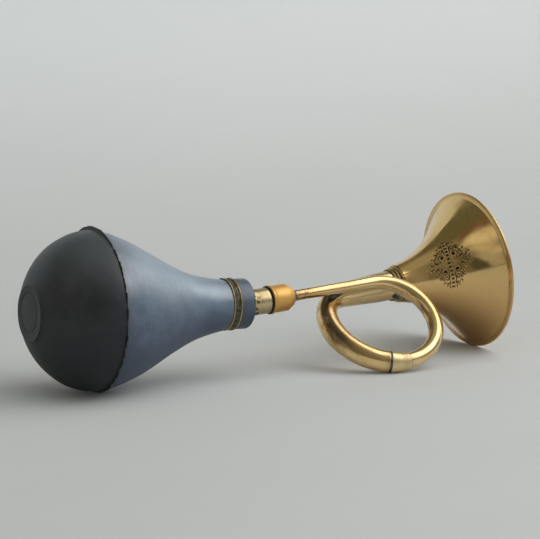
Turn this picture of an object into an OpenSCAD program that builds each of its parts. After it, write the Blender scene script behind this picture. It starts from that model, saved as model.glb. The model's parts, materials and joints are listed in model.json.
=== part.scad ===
// Bulb horn: a brass horn with one coiled loop, blown by a squeeze bulb.
// Lengths are in millimetres and angles in degrees.
// Horn frame: +X runs along the mouthpiece tube from the bulb to the bell.
// The assembled horn is then pitched so that it lies at rest on z = 0 on
// the bulb seam, the loop and the rim of the bell.

/* [Bell] */
// Outer radius of the rolled rim of the bell
bell_r = 50.8; // [46:0.1:54]
// Distance of the rim from the bulb pivot, along the bell axis
bell_x = 158.8; // [150:0.1:166]
// Outer radius of the bell where it meets its ferrule
throat_r = 12.1; // [11.9:0.1:14]
// Share of the flare that opens evenly
flare_even = 0.25; // [0.1:0.01:0.5]
// Sharpness of the flare towards the rim
flare_power = 2.2; // [2:0.1:5]
// Wall thickness of the brass sheet
sheet = 0.7; // [0.5:0.05:0.9]
// Radius of the rolled bead at the rim
bead_r = 1.25; // [1.1:0.05:1.5]

/* [Loop] */
// Centre of the front bend along the horn
loop_front_x = 77.4; // [74:0.1:80]
// Centre of the rear bend along the horn
loop_rear_x = 65.8; // [62:0.1:68]
// Reach of the front bend
loop_front_r = 28.9; // [26:0.1:31]
// Reach of the rear bend
loop_rear_r = 28.1; // [26:0.1:30]
// Half of the drop of the loop
loop_drop_r = 30.4; // [28:0.1:31]
// Lean of the loop away from the vertical
loop_lean = 47.2; // [42:0.1:52]
// Forward skew of the loop
loop_skew = 0.072; // [0:0.001:0.1]
// Sideways offset of the bell axis from the mouthpiece tube
bell_off_y = 11.5; // [11.5:0.1:14]
// Downward offset of the bell axis from the mouthpiece tube
bell_off_z = 7.2; // [7.2:0.1:9]
// Rise of the bell axis against the mouthpiece tube
bell_rise = 1.5; // [0:0.1:3]

/* [Tubes] */
// Outer radius of the mouthpiece tube at the coupling
tube_r0 = 3.3; // [3.1:0.05:3.4]
// Outer radius of the mouthpiece tube at the loop ferrule
tube_r1 = 4.8; // [4.5:0.05:5]
// Outer radius of the wide tube at the loop ferrule
tube_r2 = 6.8; // [6.6:0.05:7.2]
// Outer radius of the wide tube at the bell ferrule
tube_r3 = 9.4; // [9:0.05:9.5]
// Wall thickness of the tubes
tube_wall = 0.6; // [0.4:0.05:0.7]

/* [Coupling] */
// Outer radius of the coupling nut
nut_r = 8.35; // [8.2:0.05:9]
// Outer radius of the bead on the coupling nut
nut_bead_r = 9.05; // [9:0.05:9.6]
// Outer radius of the nipple that enters the bulb
nipple_r = 8.0; // [7.9:0.05:8.1]
// Radial running clearance between parts that move
clear_r = 0.05; // [0.02:0.01:0.1]
// Lead of the coupling thread
thread_pitch = 0.977; // [0.7:0.001:1.5]

/* [Reed] */
// Outer radius of the half-round reed body
reed_r = 3.0; // [2.6:0.1:3.2]
// Length of the reed tongue
reed_len = 19.5; // [16:0.1:20]
// Thickness of the reed tongue
reed_t = 0.25; // [0.2:0.01:0.3]
// Opening angle of the tongue at rest
reed_open = 2.2; // [2.1:0.1:2.4]

/* [Bulb] */
// Radius of the rubber at the seam
bulb_r = 47.4; // [44:0.1:48]
// Height of the moulding flash above the seam
flash_h = 1.4; // [0.6:0.1:1.6]
// Distance of the seam behind the horn origin
seam_x = 115.7; // [110:0.1:120]
// Distance of the end boss behind the horn origin
boss_x = 156.2; // [154:0.1:158]
// Radius of the end boss
boss_r = 17.0; // [14:0.1:18]
// Outer radius of the rubber neck
neck_r = 15.4; // [15:0.1:16]
// Wall thickness of the rubber
rubber = 3.4; // [2.5:0.1:4]
// Droop of the horn against the bulb axis
neck_bend = 6.25; // [5:0.05:7]
// Pitch of the horn at rest
pitch = 3.78; // [3.6:0.01:3.9]

/* [Hidden] */
eps = 0.02;
sides = 16;          // facets round a bent tube
brass = [0.80, 0.63, 0.28];
dull_brass = [0.62, 0.53, 0.30];
solder_grey = [0.55, 0.56, 0.58];

// ---- path of the brass tube ------------------------------------------------
// The station q is -65 at the inner end of the mouthpiece tube, 0 to 360 round
// the loop, and about 400 at the bell ferrule.
function step3(w) = w * w * (3 - 2 * w);
function clampv(x, a, b) = min(max(x, a), b);
blend_from = 0.271;
bell_c = [loop_rear_x, bell_off_y, -bell_off_z];
bell_d = [cos(bell_rise), 0, sin(bell_rise)];
function path(q) = q > 360 ? bell_c + bell_d * (q - 360) * 0.9 :
    let (t = clampv(q, 0, 360), w = t / 360, w1 = step3(w),
         w2 = step3(clampv((w - blend_from) / (1 - blend_from), 0, 1)),
         rx = t < 180 ? loop_front_r : loop_rear_r,
         v = loop_drop_r * (1 - cos(t)),
         x = loop_front_x + (loop_rear_x - loop_front_x) * w1 + rx * sin(t) + loop_skew * v)
    [x + min(q, 0) * (loop_front_x - 22) / 55,
     -sin(loop_lean) * v + bell_off_y * w2,
     -cos(loop_lean) * v - bell_off_z * w2];
function unitv(v) = v / norm(v);
function tang(q) = unitv(path(q + 0.5) - path(q - 0.5));
loop_n = [0, cos(loop_lean), -sin(loop_lean)];   // normal of the loop's plane
function ring(q, r) = let (t = tang(q), b = unitv(cross(t, loop_n)), n = cross(b, t), c = path(q))
    [for (i = [0 : sides - 1]) c + r * (cos(i * 360 / sides) * b + sin(i * 360 / sides) * n)];

// outer radius of the tubes at a station
function inlet_r(q) = lookup(q, [[-65, tube_r0], [-48, tube_r0], [0, tube_r0 + 0.6],
    [45, 4.95], [90, 5.05], [135, 4.6], [168, tube_r1], [190, tube_r1]]);
function outlet_r(q) = lookup(q, [[195, tube_r2], [206, tube_r2], [235, 7.25], [270, 7.4],
    [315, 6.5], [360, 8.1], [390, tube_r3], [410, tube_r3]]);
function ferrule_r(q) = lookup(q, [[174, 5.25], [176, 5.35], [180, 5.5], [196, 6.55], [200.9, 6.75],
    [201.1, tube_r2 - tube_wall - 0.12], [209, tube_r2 - tube_wall - 0.12]]);
function ferrule_in(q) = lookup(q, [[174, tube_r1 + 0.08], [180, tube_r1 + 0.08], [184, 4.6], [200, 5.4], [209, 5.4]]);

// A closed tube shell through the stations qs, with outer and inner radii
module shell(qs, ro, ri) {
    n = len(qs);
    pts = concat([for (k = [0 : n - 1]) each ring(qs[k], ro[k])],
                 [for (k = [0 : n - 1]) each ring(qs[k], ri[k])]);
    o = n * sides;
    tri = [for (k = [0 : n - 2], i = [0 : sides - 1])
              let (j = (i + 1) % sides, a = k * sides + i, b = k * sides + j,
                   c = (k + 1) * sides + i, d = (k + 1) * sides + j)
              each [[a, b, d], [a, d, c], [o + a, o + d, o + b], [o + a, o + c, o + d]]];
    ends = [for (i = [0 : sides - 1])
              let (j = (i + 1) % sides, e = (n - 1) * sides)
              each [[i, o + j, j], [i, o + i, o + j],
                    [e + i, e + j, o + e + j], [e + i, o + e + j, o + e + i]]];
    polyhedron(points = pts, faces = concat(tri, ends), convexity = 6);
}

// ---- frames ------------------------------------------------------------------
function rot_y(p, a) = [p.x * cos(a) + p.z * sin(a), p.y, -p.x * sin(a) + p.z * cos(a)];
function bulb_at(s) = [-10, 0, 0] + (-s + 10) * [cos(neck_bend), 0, -sin(neck_bend)];
bulb_d = [cos(neck_bend), 0, -sin(neck_bend)];
function bell_at(x) = bell_c + (x - loop_rear_x) * bell_d;
function spread(d, i) = sqrt(max(0, 1 - d[i] * d[i]));
// lowest or highest coordinate i of a circle of radius r about c, normal d, after the pitch
function edge(c, d, r, i, s) = rot_y(c, -pitch)[i] + s * r * spread(rot_y(d, -pitch), i);
fin_r = bulb_r + flash_h;
low_fin = edge(bulb_at(seam_x), bulb_d, fin_r, 2, -1);
low_bell = edge(bell_at(bell_x), bell_d, bell_r, 2, -1);
loop_q = [for (q = [150 : 1 : 260]) q];
low_loop = min([for (q = loop_q) edge(path(q), tang(q), q < 201 ? ferrule_r(q) : outlet_r(q), 2, -1)]);
rest_h = -min(low_fin, low_bell, low_loop);
x_lo = min(edge(bulb_at(boss_x), bulb_d, boss_r - 1, 0, -1), edge(bulb_at(seam_x), bulb_d, fin_r, 0, -1));
x_hi = edge(bell_at(bell_x + 0.9), bell_d, bell_r - 1.25, 0, 1);
y_hi = max(edge(bell_at(bell_x), bell_d, bell_r, 1, 1), fin_r);
y_lo = min(-fin_r, min([for (q = [90 : 2 : 260]) edge(path(q), tang(q), q < 174 ? inlet_r(q) : q < 201 ? ferrule_r(q) : outlet_r(q), 1, -1)]));
shift = [-(x_lo + x_hi) / 2, -(y_lo + y_hi) / 2, rest_h];
echo(low_fin = low_fin, low_bell = low_bell, low_loop = low_loop, shift = shift, xr = [x_lo, x_hi], yr = [y_lo, y_hi]);

module pose() { translate(shift) rotate([0, -pitch, 0]) children(); }
// turned part about the X axis: points are [radius, x]
module turned(pts, f = 72) { rotate([0, 90, 0]) rotate_extrude($fn = f) polygon(pts); }
module on_bulb() { translate([-10, 0, 0]) rotate([0, neck_bend, 0]) translate([10, 0, 0]) children(); }
module on_bell() { translate(bell_c) rotate([0, -bell_rise, 0]) translate([-loop_rear_x, 0, 0]) children(); }

// ---- bell ------------------------------------------------------------------------
flare_from = 103.6;
rim_r = bell_r - bead_r;     // radius of the centre of the rolled bead
function flare(x) = let (u = (x - flare_from) / (bell_x - flare_from))
    throat_r + (rim_r - 0.5 - throat_r) * (flare_even * u + (1 - flare_even) * pow(max(u, 0), flare_power));
module bell() {
    xs = [for (i = [0 : 22]) flare_from + (bell_x - flare_from) * i / 22];
    color(brass) pose() on_bell() difference() {
        union() {
            turned(concat([for (x = xs) [flare(x), x]],
                          [for (i = [22 : -1 : 0]) let (s = (flare(xs[i] + 0.01) - flare(xs[i] - 0.01)) / 0.02, l = sqrt(1 + s * s))
                              [flare(xs[i]) - sheet / l, xs[i] + sheet * s / l * (i > 0 ? 1 : 0)]]), 96);
            // rolled bead
            translate([bell_x, 0, 0]) rotate([0, 90, 0]) rotate_extrude($fn = 96) translate([rim_r, 0]) circle(r = bead_r, $fn = 32);
        }
        // room for the wire the bead is rolled over
        translate([bell_x, 0, 0]) rotate([0, 90, 0]) rotate_extrude($fn = 96) translate([rim_r, 0]) circle(r = bead_r - 0.5, $fn = 32);
        // narrow flat land on the front of the bead
        translate([bell_x + 1.05, 0, 0]) rotate([0, 90, 0]) cylinder(r = bell_r + 5, h = 3, $fn = 96);
    }
}
module bell_rim_wire() {
    color(dull_brass) pose() on_bell() translate([bell_x, 0, 0]) rotate([0, 90, 0])
        rotate_extrude($fn = 96) translate([rim_r, 0]) circle(r = bead_r - 0.55, $fn = 24);
}
// ridged ring that joins the wide tube to the throat of the bell
module bell_ferrule() {
    i = tube_r3 + 0.06;
    color(dull_brass) pose() on_bell()
        turned([[i, 96.6], [i + 0.5, 96.6], [10.3, 97.1], [10.5, 97.8], [10.3, 98.5], [10.0, 98.8],
                [10.3, 99.1], [10.9, 99.6], [11.1, 100.3], [10.9, 101.0], [10.4, 101.3],
                [10.9, 101.6], [11.7, 102.0], [12.0, 102.7], [11.8, 103.3], [11.2, 103.5],
                [throat_r - sheet - 0.1, 103.5], [throat_r - sheet - 0.1, 106.5], [i, 106.5]]);
}
// ---- tubes -----------------------------------------------------------------------
module outlet_tube() {
    qs = concat([203.3, 208, 214], [for (q = [222 : 9 : 357]) q], [362, 372, 382, 390, 399]);
    color(brass) pose() shell(qs, [for (q = qs) outlet_r(q)], [for (q = qs) outlet_r(q) - tube_wall]);
}
module loop_ferrule() {
    qs = [174, 176, 180, 184, 190, 196, 200.9, 201.1, 205, 209];
    color(brass) pose() shell(qs, [for (q = qs) ferrule_r(q)], [for (q = qs) ferrule_in(q)]);
}
module inlet_tube() {
    qs = concat([-64, -48, -30, -14, 0], [for (q = [8 : 8 : 168]) q], [174, 179.5]);
    color(brass) pose() shell(qs, [for (q = qs) inlet_r(q)], [for (q = qs) inlet_r(q) - tube_wall]);
}
// ---- solder ------------------------------------------------------------------------
module coupling_solder() {
    color(solder_grey) pose() turned([[tube_r0 + 0.06, 19.45], [4.6, 19.45], [4.3, 20.2], [3.7, 21.0], [tube_r0 + 0.06, 21.4]], 48);
}
// silver ring that fills the gap between the loop ferrule and the wide tube
module loop_solder() {
    qs = [201.3, 203.1];
    color(solder_grey) pose() shell(qs, [for (q = qs) tube_r2 - 0.1], [for (q = qs) tube_r2 - tube_wall - 0.05]);
}
function between(a, b) = let (p = path(a), r = path(b), g = norm(r - p), ra = inlet_r(a), rb = outlet_r(b))
    p + (r - p) * (ra + (g - ra - rb) / 2) / g;
module crossing_solder() {
    color(solder_grey) pose() {
        translate(between(-13, 352)) sphere(r = 2.1, $fn = 32);
        translate(between(18, 383)) sphere(r = 1.9, $fn = 32);
    }
}
// ---- coupling ------------------------------------------------------------------------
thread_r = nipple_r - 0.9;    // crest radius of the male thread
bore_r = thread_r + clear_r;
module coupling_nut() {
    s = tube_r0 + 0.05;
    color([0.83, 0.60, 0.26]) pose()
        turned([[bore_r, 2.9], [nut_bead_r - 0.5, 2.9], [nut_bead_r - 0.1, 3.2], [nut_bead_r, 3.85], [nut_bead_r - 0.1, 4.5],
                [nut_bead_r - 0.4, 4.8], [nut_r, 4.95], [nut_r, 15.0], [nut_r - 0.35, 16.4], [nut_r - 1.1, 17.7],
                [nut_r - 2.0, 18.7], [nut_r - 2.9, 19.3], [s, 19.4], [s, 13.4], [5.4, 13.4], [5.4, 11.6], [bore_r, 11.6]]);
}
module coupling_washer() {
    color([0.08, 0.08, 0.08]) pose() turned([[thread_r + clear_r, 1.45], [8.7, 1.45], [8.85, 1.8], [8.8, 2.6], [8.6, 2.86], [thread_r + clear_r, 2.86]]);
}
// neck tube with its male thread drawn as closed rings
module nipple() {
    color(dull_brass) pose() {
        turned(concat([[7.2, -36], [nipple_r - 0.3, -36], [nipple_r, -35.6], [nipple_r, 1.4], [thread_r - 0.5, 1.4], [thread_r - 0.5, 3.2]],
            [for (i = [0 : 5]) each [[thread_r, 3.3 + thread_pitch * (i + 0.3)], [thread_r, 3.3 + thread_pitch * (i + 0.45)], [thread_r - 0.5, 3.3 + thread_pitch * (i + 0.95)]]],
            [[thread_r - 0.5, 9.25 + (thread_pitch > 0.99 ? (thread_pitch - 0.99) * 6 : 0)], [5.9, 9.25 + (thread_pitch > 0.99 ? (thread_pitch - 0.99) * 6 : 0)], [5.9, 0.2], [7.2, -1.1]]));
    }
}
// ---- reed ------------------------------------------------------------------------
module reed_washer() {
    color([0.35, 0.22, 0.12]) pose() turned([[3.2, 11.02], [6.9, 11.02], [6.9, 11.58], [3.2, 11.58]], 48);
}
module reed_plug() {
    color(dull_brass) pose() difference() {
        turned([[1.8, 6.9], [reed_r + 0.9, 6.9], [reed_r + 0.9, 9.5], [6.9, 9.5], [6.9, 11], [1.8, 11]], 48);
        // seat of the half-round reed body
        intersection() {
            translate([6.8, 0, 0]) rotate([0, 90, 0]) cylinder(r = reed_r + 0.03, h = 2.2, $fn = 48);
            translate([6.8, -5, -10 + 0.03]) cube([2.2, 10, 10]);
        }
    }
}
// half-round open tube that the tongue beats against
module reed_shallot() {
    color(brass) pose() intersection() {
        turned([[0, 8.95 - reed_len - 5], [reed_r, 8.95 - reed_len - 5], [reed_r, 8.95], [reed_r - 0.5, 8.95], [reed_r - 0.5, 9.75 - reed_len - 5], [0, 9.75 - reed_len - 5]], 48);
        translate([-30, -5, -10]) cube([60, 10, 10]);
    }
}
clip_x = 5.5;
module reed_clip() {
    color(dull_brass) pose() intersection() {
        union() {
            turned([[reed_r + 0.03, clip_x - 1], [reed_r + 0.75, clip_x - 1], [reed_r + 0.75, clip_x + 1], [reed_r + 0.03, clip_x + 1]], 48);
            // wedge that holds the root of the tongue down
            intersection() {
                translate([clip_x - 1, 0, 0]) rotate([0, 90, 0]) cylinder(r = reed_r + 0.3, h = 2, $fn = 48);
                translate([clip_x - 1, -5, 0.3 + reed_t]) cube([2, 10, 10]);
            }
        }
        translate([clip_x - 1, -6, -6]) cube([2, 12, 12]);
    }
}
module reed_tongue() {
    color(brass) pose() translate([clip_x, 0, 0.15]) rotate([0, reed_open, 0])
        translate([-reed_len, -2.8, 0]) cube([reed_len + 0.8, 5.6, reed_t]);
}
// ---- bulb ------------------------------------------------------------------------
module neck_band() {
    r = neck_r + 0.06;
    color([0.45, 0.38, 0.16]) pose() on_bulb()
        turned([[r, -29.2], [r + 0.45, -29.2], [r + 0.65, -28.6], [r + 0.45, -28.1], [r + 0.22, -27.9], [r + 0.22, -24.9],
                [r + 0.45, -24.7], [r + 0.65, -24.2], [r + 0.45, -23.6], [r, -23.6]]);
}
// black cement squeezed out between the nipple and the rubber
module neck_cement() {
    color([0.05, 0.05, 0.05]) pose() turned([[nipple_r + 0.04, -12.7], [nipple_r + 1.1, -12.7], [nipple_r + 0.7, -12.0], [nipple_r + 0.04, -11.4]], 48);
}
// outer radius of the rubber between the neck and the seam
function cone_r(x) = lookup(-x, [[13.9, neck_r], [31, neck_r], [38, neck_r + 1.0], [48, neck_r + 3.6], [58, 22.6],
    [68, 27.4], [78, 32.8], [88, 38.0], [98, 42.5], [107, bulb_r - 1.8], [112, bulb_r - 0.5], [seam_x, bulb_r]]);
cone_xs = [-112, -107, -98, -88, -78, -68, -58, -48, -38, -31];
module bulb_cone() {
    e = -13.9;
    color([0.32, 0.36, 0.42]) pose() difference() {
        on_bulb() turned(concat([[0, -seam_x + 0.03], [bulb_r, -seam_x + 0.03]], [for (x = cone_xs) [cone_r(x), x]],
                      [[neck_r, e - 1.5], [neck_r - 0.45, e - 0.45], [neck_r - 1.5, e], [0, e]]), 96);
        on_bulb() turned(concat([[0, -seam_x - 1], [bulb_r - rubber, -seam_x - 1]], [for (x = cone_xs) if (x < -40) [cone_r(x) - rubber, x]],
                      [[11.2, -39.5], [0, -39.5]]), 96);
        translate([-60, 0, 0]) rotate([0, 90, 0]) cylinder(r = nipple_r + 0.04, h = 55, $fn = 72);
    }
}
function dome_r(x, r, l) = r * sqrt(max(0, 1 - pow((-x - seam_x) / l, 2)));
module bulb_dome() {
    l = boss_x - seam_x + 1.5;
    n = 12;
    face = -boss_x;
    root = -seam_x - l * sqrt(1 - pow(boss_r / bulb_r, 2));
    color([0.10, 0.11, 0.12]) pose() on_bulb()
        turned(concat([[0, face + 0.5], [boss_r * 0.68, face + 0.5], [boss_r * 0.68, face - 0.1], [boss_r * 0.72, face + 0.4],
                       [boss_r - 1.2, face + 0.4], [boss_r - 0.6, face], [boss_r, face + 0.5], [boss_r, root]],
                      [for (i = [1 : n]) let (a = i / (n + 1), x = root + (-seam_x - 1.1 - root) * pow(a, 0.8)) [dome_r(x, bulb_r, l), x]],
                      [[dome_r(-seam_x - 1.0, bulb_r, l), -seam_x - 1.0], [fin_r, -seam_x - 0.6], [fin_r, -seam_x - 0.03], [bulb_r - rubber, -seam_x - 0.03]],
                      [for (i = [1 : n - 1]) let (a = i / n, x = -seam_x - (l - rubber) * sin(90 * a)) [dome_r(x, bulb_r - rubber, l - rubber), x]],
                      [[0, -seam_x - (l - rubber)]]), 96);
}

bell();
bell_rim_wire();
bell_ferrule();
outlet_tube();
loop_ferrule();
inlet_tube();
coupling_nut();
coupling_solder();
loop_solder();
crossing_solder();
reed_washer();
reed_plug();
reed_shallot();
reed_clip();
reed_tongue();
coupling_washer();
nipple();
neck_band();
neck_cement();
bulb_cone();
bulb_dome();
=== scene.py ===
"""Looks of the bulb horn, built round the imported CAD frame."""
import json
import math

import bmesh
import bpy
import numpy as np
from mathutils import Matrix, Vector, noise


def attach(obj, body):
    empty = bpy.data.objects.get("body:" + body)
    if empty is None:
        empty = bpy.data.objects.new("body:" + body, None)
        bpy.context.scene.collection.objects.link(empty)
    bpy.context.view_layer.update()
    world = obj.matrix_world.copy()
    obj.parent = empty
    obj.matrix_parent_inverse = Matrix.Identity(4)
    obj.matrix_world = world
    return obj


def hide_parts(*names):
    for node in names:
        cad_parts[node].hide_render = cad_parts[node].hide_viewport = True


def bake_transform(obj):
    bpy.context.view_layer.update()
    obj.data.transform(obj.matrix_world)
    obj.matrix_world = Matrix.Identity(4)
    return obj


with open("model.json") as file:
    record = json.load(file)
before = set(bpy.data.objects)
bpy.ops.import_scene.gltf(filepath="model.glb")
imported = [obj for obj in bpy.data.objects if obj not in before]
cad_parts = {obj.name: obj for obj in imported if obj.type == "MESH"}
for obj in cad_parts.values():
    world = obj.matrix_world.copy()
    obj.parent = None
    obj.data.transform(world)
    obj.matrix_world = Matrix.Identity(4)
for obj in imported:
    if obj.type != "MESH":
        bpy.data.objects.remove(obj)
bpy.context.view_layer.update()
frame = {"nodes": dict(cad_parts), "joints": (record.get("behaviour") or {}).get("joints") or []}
NODES = frame["nodes"]
RNG = np.random.RandomState(41)

# ---------------------------------------------------------------- frames (mm)
SHIFT = next(np.array(j["pos_m"]) * 1000 for j in frame["joints"] if j["name"] == "bulb_unscrew")
PITCH, NECK, RISE = math.radians(3.78), math.radians(6.25), math.radians(1.5)


def rot_y(a):
    return np.array([[math.cos(a), 0, math.sin(a)], [0, 1, 0], [-math.sin(a), 0, math.cos(a)]])


POSE, BULB, BELL = rot_y(-PITCH), rot_y(NECK), rot_y(-RISE)
BELL_C = np.array([65.8, 11.5, -7.2])


def horn(p):
    """Horn frame in mm to the row frame in metres."""
    return (p @ POSE.T + SHIFT) * 0.001


def on_bulb(p):
    return horn((p + [10, 0, 0]) @ BULB.T + [-10, 0, 0])


def on_bell(p):
    return horn((p - [65.8, 0, 0]) @ BELL.T + BELL_C)


# ------------------------------------------------------------------- mesh kit
def fnoise(p, scale, seed=0.0, octaves=3):
    """Seeded fractal noise at the points p, about -1 to 1."""
    flat = np.asarray(p, float).reshape(-1, 3) * scale + seed * 17.31
    out = np.empty(len(flat))
    for i, q in enumerate(flat):
        s, a, f = 0.0, 1.0, 1.0
        for _ in range(octaves):
            s += a * noise.noise(Vector((q[0] * f, q[1] * f, q[2] * f)))
            a *= 0.5
            f *= 2.03
        out[i] = s
    return out.reshape(np.asarray(p).shape[:-1])


def make(name, verts, faces, body, mat, attrs=None, sharp=32, replaces=(), blend=None):
    me = bpy.data.meshes.new(name)
    me.from_pydata(np.asarray(verts, float).tolist(), [], faces)
    for key, val in (attrs or {}).items():
        a = me.attributes.new(key, "FLOAT", "POINT")
        a.data.foreach_set("value", np.asarray(val, np.float32).ravel())
    bm = bmesh.new()
    bm.from_mesh(me)
    bmesh.ops.recalc_face_normals(bm, faces=bm.faces)
    bm.to_mesh(me)
    bm.free()
    me.shade_smooth()
    me.set_sharp_from_angle(angle=math.radians(sharp))
    ob = bpy.data.objects.new(name, me)
    bpy.context.scene.collection.objects.link(ob)
    me.materials.append(mat)
    if blend:
        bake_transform(ob)
    else:
        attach(ob, body)
    if replaces:
        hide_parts(*replaces)
    return ob


def fillet(pts, rad=0.2, k=4, loop=True):
    """Rounds the corners of a profile. A point may carry its own radius as a third number."""
    n, out = len(pts), []
    for i, p in enumerate(pts):
        r = p[2] if len(p) > 2 else rad
        b = np.array(p[:2], float)
        if not loop and i in (0, n - 1) or r <= 0:
            out.append(b)
            continue
        a, c = np.array(pts[i - 1][:2], float), np.array(pts[(i + 1) % n][:2], float)
        la, lc = np.linalg.norm(a - b), np.linalg.norm(c - b)
        ea, ec = (a - b) / la, (c - b) / lc
        half = math.acos(max(-1, min(1, float(ea @ ec)))) / 2
        if half > 1.45:
            out.append(b)
            continue
        d = min(r / math.tan(max(half, 0.2)), 0.45 * la, 0.45 * lc)
        for t in np.linspace(0, 1, k):
            out.append((1 - t) ** 2 * (b + ea * d) + 2 * t * (1 - t) * b + t * t * (b + ec * d))
    return np.array(out)


def densify(pts, step, loop=True):
    out, n = [], len(pts)
    for i in range(n if loop else n - 1):
        a, b = np.array(pts[i]), np.array(pts[(i + 1) % n])
        m = max(1, int(math.ceil(np.linalg.norm(b - a) / step)))
        out += [a + (b - a) * t / m for t in range(m)]
    if not loop:
        out.append(np.array(pts[-1]))
    return np.array(out)


def catmull(keys, xs):
    """Smooth monotone curve through (x, value) keys."""
    kx, ky = np.array([k[0] for k in keys], float), np.array([k[1] for k in keys], float)
    d = np.diff(ky) / np.diff(kx)
    m = np.concatenate([[d[0]], np.where(d[:-1] * d[1:] > 0, 2 * d[:-1] * d[1:] / (d[:-1] + d[1:] + 1e-12), 0), [d[-1]]])
    i = np.clip(np.searchsorted(kx, xs, "right") - 1, 0, len(kx) - 2)
    h = kx[i + 1] - kx[i]
    t = np.clip((xs - kx[i]) / h, 0, 1)
    return ((2 * t**3 - 3 * t**2 + 1) * ky[i] + (t**3 - 2 * t**2 + t) * h * m[i]
            + (-2 * t**3 + 3 * t**2) * ky[i + 1] + (t**3 - t**2) * h * m[i + 1])


def revolve(prof, place, nseg=128, angs=None, disp=None):
    """Turns a profile of [x, r]. A profile that starts and ends on the axis gets two poles; any other is a closed loop.
    Angle 0 is at the top and a quarter turn is at the near side."""
    prof = np.array(prof, float)
    ang = np.linspace(0, 2 * math.pi, nseg, endpoint=False) if angs is None else angs
    ns = len(ang)
    poles = prof[0, 1] < 1e-6 and prof[-1, 1] < 1e-6
    body = prof[1:-1] if poles else prof
    n = len(body)
    x = np.repeat(body[:, 0][:, None], ns, 1)
    r = np.repeat(body[:, 1][:, None], ns, 1)
    a = np.repeat(ang[None, :], n, 0)
    dy = dz = 0.0
    if disp:
        x, r, dy, dz = disp(x, r, a)
    p = np.stack([x, -r * np.sin(a) + dy, r * np.cos(a) + dz], -1).reshape(-1, 3)
    j, j1 = np.arange(ns), (np.arange(ns) + 1) % ns
    faces = []
    for i in range(n - 1 if poles else n):
        i1 = (i + 1) % n
        faces += np.stack([i * ns + j, i * ns + j1, i1 * ns + j1, i1 * ns + j], -1).tolist()
    ax, rad, an = x.ravel(), r.ravel(), a.ravel()
    if poles:
        base = len(p)
        p = np.vstack([p, [prof[0, 0], 0, 0], [prof[-1, 0], 0, 0]])
        faces += [[base, int(b), int(c)] for b, c in zip(j1, j)]
        last = (n - 1) * ns
        faces += [[base + 1, last + int(b), last + int(c)] for b, c in zip(j, j1)]
        ax, rad, an = (np.concatenate([v, e]) for v, e in ((ax, prof[[0, -1], 0]), (rad, [0, 0]), (an, [0, 0])))
    return place(p), faces, {"ax": ax, "rad": rad, "ang": an}


# ------------------------------------------------------------- tube path (mm)
LEAN, BL = math.radians(47.2), 0.271
XR, XL, RR, RL, RV, SK = 77.4, 65.8, 28.9, 28.1, 30.4, 0.072


def step3(w):
    return w * w * (3 - 2 * w)


def path(q):
    q = np.asarray(q, float)
    t = np.clip(q, 0, 360)
    w = t / 360
    w1, w2 = step3(w), step3(np.clip((w - BL) / (1 - BL), 0, 1))
    tr = np.radians(t)
    v = RV * (1 - np.cos(tr))
    x = XR + (XL - XR) * w1 + np.where(t < 180, RR, RL) * np.sin(tr) + SK * v + np.minimum(q, 0) * (XR - 22) / 55
    p = np.stack([x, -math.sin(LEAN) * v + 11.5 * w2, -math.cos(LEAN) * v - 7.2 * w2], -1)
    e = q > 360
    p[e] = BELL_C + np.array([math.cos(RISE), 0, math.sin(RISE)]) * (q[e][:, None] - 360) * 0.9
    return p


LOOP_N = np.array([0, math.cos(LEAN), -math.sin(LEAN)])


def tube_frames(q):
    c = path(q)
    t = path(q + 0.7) - path(q - 0.7)
    t /= np.linalg.norm(t, axis=1, keepdims=True)
    b = np.cross(t, LOOP_N)
    b /= np.linalg.norm(b, axis=1, keepdims=True)
    return c, t, b, np.cross(b, t)


def sweep(q, ro, ri, ns=56, flat=0.0, lump=0.0, seed=0.0):
    """Closed tube shell along the path, with rounded lips. b points into the loop's plane, n across it."""
    lip = 0.16
    qa = np.concatenate([[q[0], q[0] + 0.02, q[0] + 0.2], q[1:-1], [q[-1] - 0.2, q[-1] - 0.02, q[-1]]])
    roa = np.interp(qa, q, ro)
    ria = np.interp(qa, q, ri)
    roa[0] -= lip
    roa[-1] -= lip
    roa[1] -= lip * 0.35
    roa[-2] -= lip * 0.35
    qs, rs = np.concatenate([qa, qa[::-1]]), np.concatenate([roa, ria[::-1]])
    c, t, b, n = tube_frames(qs)
    a = np.linspace(0, 2 * math.pi, ns, endpoint=False)
    bend = np.clip(np.sin(np.radians(np.clip(qs, 0, 360)) * 0.5) * 1.6, 0, 1)[:, None] * flat
    rb, rn = rs[:, None] * (1 - bend), rs[:, None] * (1 + 0.6 * bend)
    if lump:
        probe = c[:, None, :] + rs[:, None, None] * (np.cos(a)[None, :, None] * b[:, None, :] + np.sin(a)[None, :, None] * n[:, None, :])
        f = 1 + lump * fnoise(probe, 0.09, seed, 2) / rs[:, None]
        rb, rn = rb * f, rn * f
    p = c[:, None, :] + (rb * np.cos(a))[..., None] * b[:, None, :] + (rn * np.sin(a))[..., None] * n[:, None, :]
    m = len(qs)
    j, j1 = np.arange(ns), (np.arange(ns) + 1) % ns
    faces = []
    for i in range(m):
        i1 = (i + 1) % m
        faces += np.stack([i * ns + j, i * ns + j1, i1 * ns + j1, i1 * ns + j], -1).tolist()
    return horn(p.reshape(-1, 3)), faces, {"ax": np.repeat(qs, ns), "ang": np.tile(a, m), "rad": np.repeat(rs, ns)}


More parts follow.
